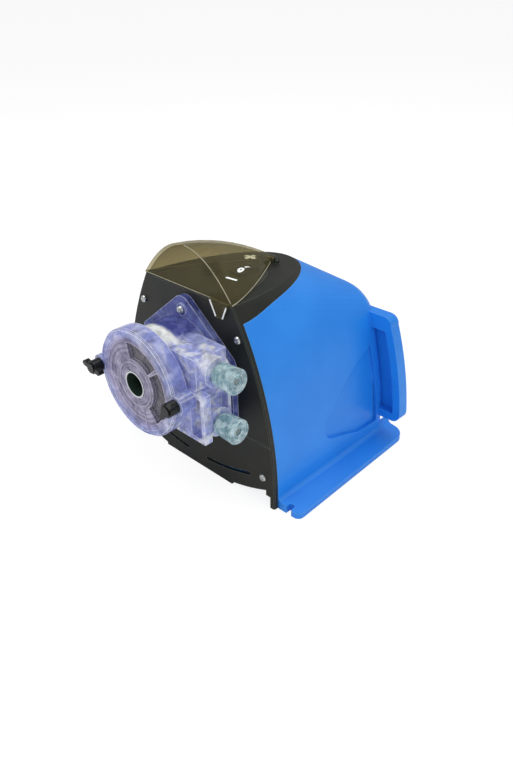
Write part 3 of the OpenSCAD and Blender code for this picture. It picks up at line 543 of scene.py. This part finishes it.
def footPoint(side, y):
    # where the foot of the hood stands on the control surface, y mm from its front
    reach = 1 - (y / hoodEdge["length"]) ** hoodEdge["taper"]
    x = side * (hoodEdge["footOut"] + (hoodEdge["halfWidth"] - hoodEdge["footInset"]) * reach)
    return place(x, y, layout["topZ"] - layout["topFall"] * y + hoodEdge["lift"])


for name, side in {"hoodFootHighlightRight": 1, "hoodFootHighlightLeft": -1}.items():
    foot = [footPoint(side, hoodEdge["footStart"] + hoodEdge["footRun"] * i / 24) for i in range(25)]
    addPiece(name, *bead(foot, hoodEdge["footRadius"]), hoodHighlight, "hood")

# painted highlights along the sides of the pull tab, as white beads with a faint glow: x and height over the
# control surface, from end to end
tab = {"y": -2.2, "radius": 0.6, "edges": {"tabHighlightLeft": ((30.9, 0.4), (37.4, -12.6)),
                                           "tabHighlightRight": ((45.2, -12.6), (49.8, -1.6))}}
tabHighlight = opaqueMaterial("tabEdgeHighlight", {"dark": "#e2e6ea", "light": "#f8fafc", "mottleMm": 6, "grainMm": 0.8,
                                          "grainStrength": 0.03, "rough": 0.3, "glow": 0.15})
for name, (start, end) in tab["edges"].items():
    path = [place(x, tab["y"], layout["topZ"] + height) for x, height in line(start, end, 4)]
    addPiece(name, *bead(path, tab["radius"]), tabHighlight, "hood")
print("scene pieces done")


# floor and backdrop: plain white to the camera, with the object's soft shadow on it
stage = {"floorSize": 24.0, "floorColour": "#ffffff", "floorLift": 1.15, "plainShare": 0.72,
         "floorDrop": 0.0005, "skyLight": 0.42, "skySeen": 1.0}


def floorMaterial(name, colour, lift):
    made, tree = newMaterial(name)
    coords = addNode(tree, "ShaderNodeTexCoord")
    dust = addNode(tree, "ShaderNodeTexNoise", {"Scale": 3.0, "Detail": 2.0},
                   {"Vector": coords.outputs["Object"]})
    tone = addNode(tree, "ShaderNodeMapRange", {"To Min": 0.97, "To Max": 1.0},
                   {"Value": dust.outputs["Fac"]})
    paint = addNode(tree, "ShaderNodeVectorMath", {"operation": "SCALE", 0: toLinear(colour)[:3]},
                    {"Scale": tone.outputs["Result"]})
    lit = addNode(tree, "ShaderNodeBsdfDiffuse", {"Roughness": 0.5}, {"Color": paint.outputs["Vector"]})
    path = addNode(tree, "ShaderNodeLightPath")
    glow = addNode(tree, "ShaderNodeEmission", {"Color": (1, 1, 1, 1), "Strength": lift})
    direct = addNode(tree, "ShaderNodeMath", {"operation": "MAXIMUM"},
                     {0: path.outputs["Is Camera Ray"], 1: path.outputs["Is Transmission Ray"]})
    plain = addNode(tree, "ShaderNodeMath", {"operation": "MULTIPLY", 1: stage["plainShare"]},
                    {0: direct.outputs[0]})
    shown = addNode(tree, "ShaderNodeMixShader",
                    links={"Fac": plain.outputs[0], 1: lit.outputs[0], 2: glow.outputs[0]})
    finishMaterial(tree, shown)
    return made


floorMesh = bpy.data.meshes.new("floor")
reach = stage["floorSize"] / 2
floorMesh.from_pydata([(-reach, -reach, 0), (reach, -reach, 0), (reach, reach, 0), (-reach, reach, 0)],
                      [], [[0, 1, 2, 3]])
floorMesh.materials.append(floorMaterial("paleFloor", stage["floorColour"], stage["floorLift"]))
floor = bpy.data.objects.new("floor", floorMesh)
bpy.context.scene.collection.objects.link(floor)
floor.location.z = -stage["floorDrop"]

world = bpy.data.worlds.new("studio")
bpy.context.scene.world = world
world.use_nodes = True
sky = world.node_tree
sky.nodes.clear()
skyPath = addNode(sky, "ShaderNodeLightPath")
seen = addNode(sky, "ShaderNodeMath", {"operation": "MAXIMUM"},
               {0: skyPath.outputs["Is Camera Ray"], 1: skyPath.outputs["Is Transmission Ray"]})
strength = addNode(sky, "ShaderNodeMapRange", {"To Min": stage["skyLight"], "To Max": stage["skySeen"]},
                   {"Value": seen.outputs[0]})
skyGlow = addNode(sky, "ShaderNodeBackground", {"Color": (1, 1, 1, 1)},
                  {"Strength": strength.outputs["Result"]})
addNode(sky, "ShaderNodeOutputWorld", links={"Surface": skyGlow.outputs[0]})


def addLamp(name, spot, aim, size, power):
    lamp = bpy.data.lights.new(name, "AREA")
    lamp.size = size
    lamp.energy = power
    holder = bpy.data.objects.new(name, lamp)
    bpy.context.scene.collection.objects.link(holder)
    holder.location = spot
    holder.rotation_euler = (Vector(aim) - Vector(spot)).to_track_quat("-Z", "Y").to_euler()


# soft boxes: place in metres, size in metres, power in watts
middle = (0.0, 0.0, 0.1)
softboxes = {"keySoftbox": ((-0.5, -1.0, 1.3), 0.9, 9), "sideSoftbox": ((1.3, -0.4, 0.6), 0.9, 4),
             "topSoftbox": ((0.2, 0.5, 1.5), 1.0, 8)}
for name, (spot, size, power) in softboxes.items():
    addLamp(name, spot, middle, size, power)
print("lights done")


# camera: the photograph's view, from the fit to its straight edges
shot = {"azimuthDeg": 44.573, "elevationDeg": 31.024, "rollDeg": -1.0292, "focalPx": 711.475,
        "offsetMm": (-55.6995, -80.4457, 687.2422), "frameHeightPx": 760, "sensorMm": 36.0}
azimuth, elevation, roll = (math.radians(shot[k]) for k in ("azimuthDeg", "elevationDeg", "rollDeg"))
right = Vector((math.cos(azimuth), math.sin(azimuth), 0))
back = Vector((math.sin(azimuth) * math.cos(elevation), -math.cos(azimuth) * math.cos(elevation),
               math.sin(elevation)))
up = back.cross(right)
cameraX = right * math.cos(roll) + up * math.sin(roll)
cameraY = up * math.cos(roll) - right * math.sin(roll)
offset = shot["offsetMm"]
spot = -(cameraX * offset[0] + cameraY * offset[1] - back * offset[2])
cameraData = bpy.data.cameras.new("photoCamera")
cameraData.sensor_width = shot["sensorMm"]
cameraData.lens = shot["focalPx"] * shot["sensorMm"] / shot["frameHeightPx"]
cameraData.clip_start = 0.01
cameraData.clip_end = 20
camera = bpy.data.objects.new("photoCamera", cameraData)
bpy.context.scene.collection.objects.link(camera)
camera.matrix_world = Matrix((
    (cameraX[0], cameraY[0], back[0], 0), (cameraX[1], cameraY[1], back[1], 0),
    (cameraX[2], cameraY[2], back[2], 0), (0, 0, 0, 1)))
camera.location = place(*spot)
bpy.context.scene.camera = camera
bpy.context.scene.view_settings.view_transform = "Standard"
print("camera done")
